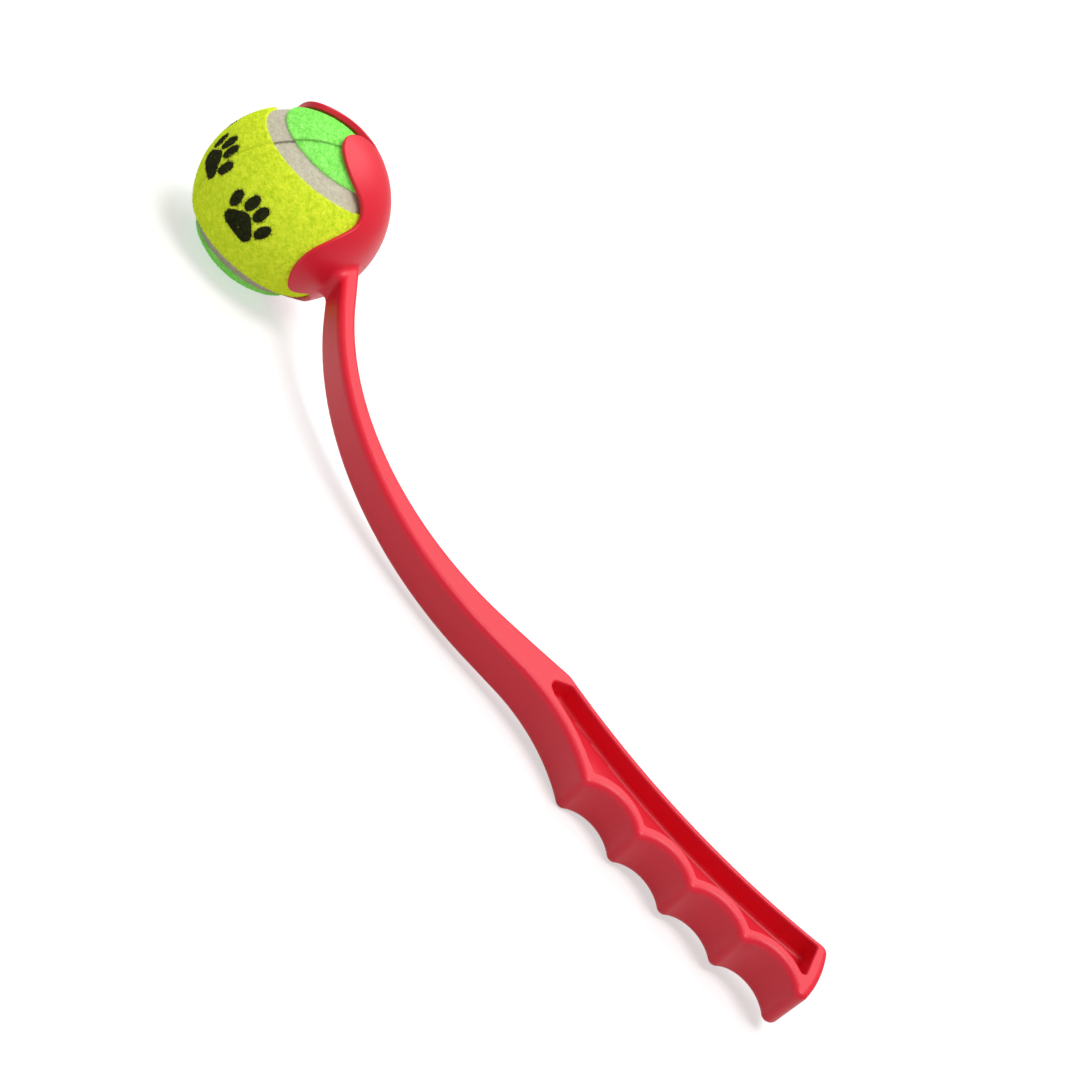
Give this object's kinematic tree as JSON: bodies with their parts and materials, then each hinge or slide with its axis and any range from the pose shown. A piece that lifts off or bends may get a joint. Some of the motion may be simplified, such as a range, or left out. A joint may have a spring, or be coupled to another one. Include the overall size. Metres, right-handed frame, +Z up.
{
  "type": "dog ball thrower",
  "caption": "Dog ball thrower: a one-piece moulded cup, curved arm and finger grip, with a two-tone felt ball with paw prints held in the cup.",
  "frame": {"origin": "centre of the ball in its seat in the cup", "axes": "+Z up as the thrower lies on a table, +X along the grip from the hand towards the cup, +Y towards the front, where the finger ridges are"},
  "size_m": [0.3254, 0.1475, 0.0657],
  "materials": {
    "red_plastic": "moulded, soft sheen",
    "yellow_felt": "short napped felt",
    "green_felt": "short napped felt",
    "seam": "matt vulcanised seam",
    "paw_ink": "ink printed on felt",
    "rubber_core": "matt",
    "rubber_cement": "matt"
  },
  "bodies": {
    "thrower": {"thrower": "red_plastic"},
    "ball": {"ball_core_half_a": "rubber_core", "ball_core_half_b": "rubber_core", "core_cement_ring": "rubber_cement", "felt_panel_yellow": "yellow_felt", "felt_panel_green": "green_felt", "seam_cement": "seam", "paw_print_1": "paw_ink", "paw_print_2": "paw_ink", "paw_print_3": "paw_ink"}
  },
  "joints": [
    {"name": "ball_release", "type": "slide", "parent": "thrower", "child": "ball", "axis": [0.7232, 0.6222, -0.2997], "range_m": [0, 0.06]}
  ]
}
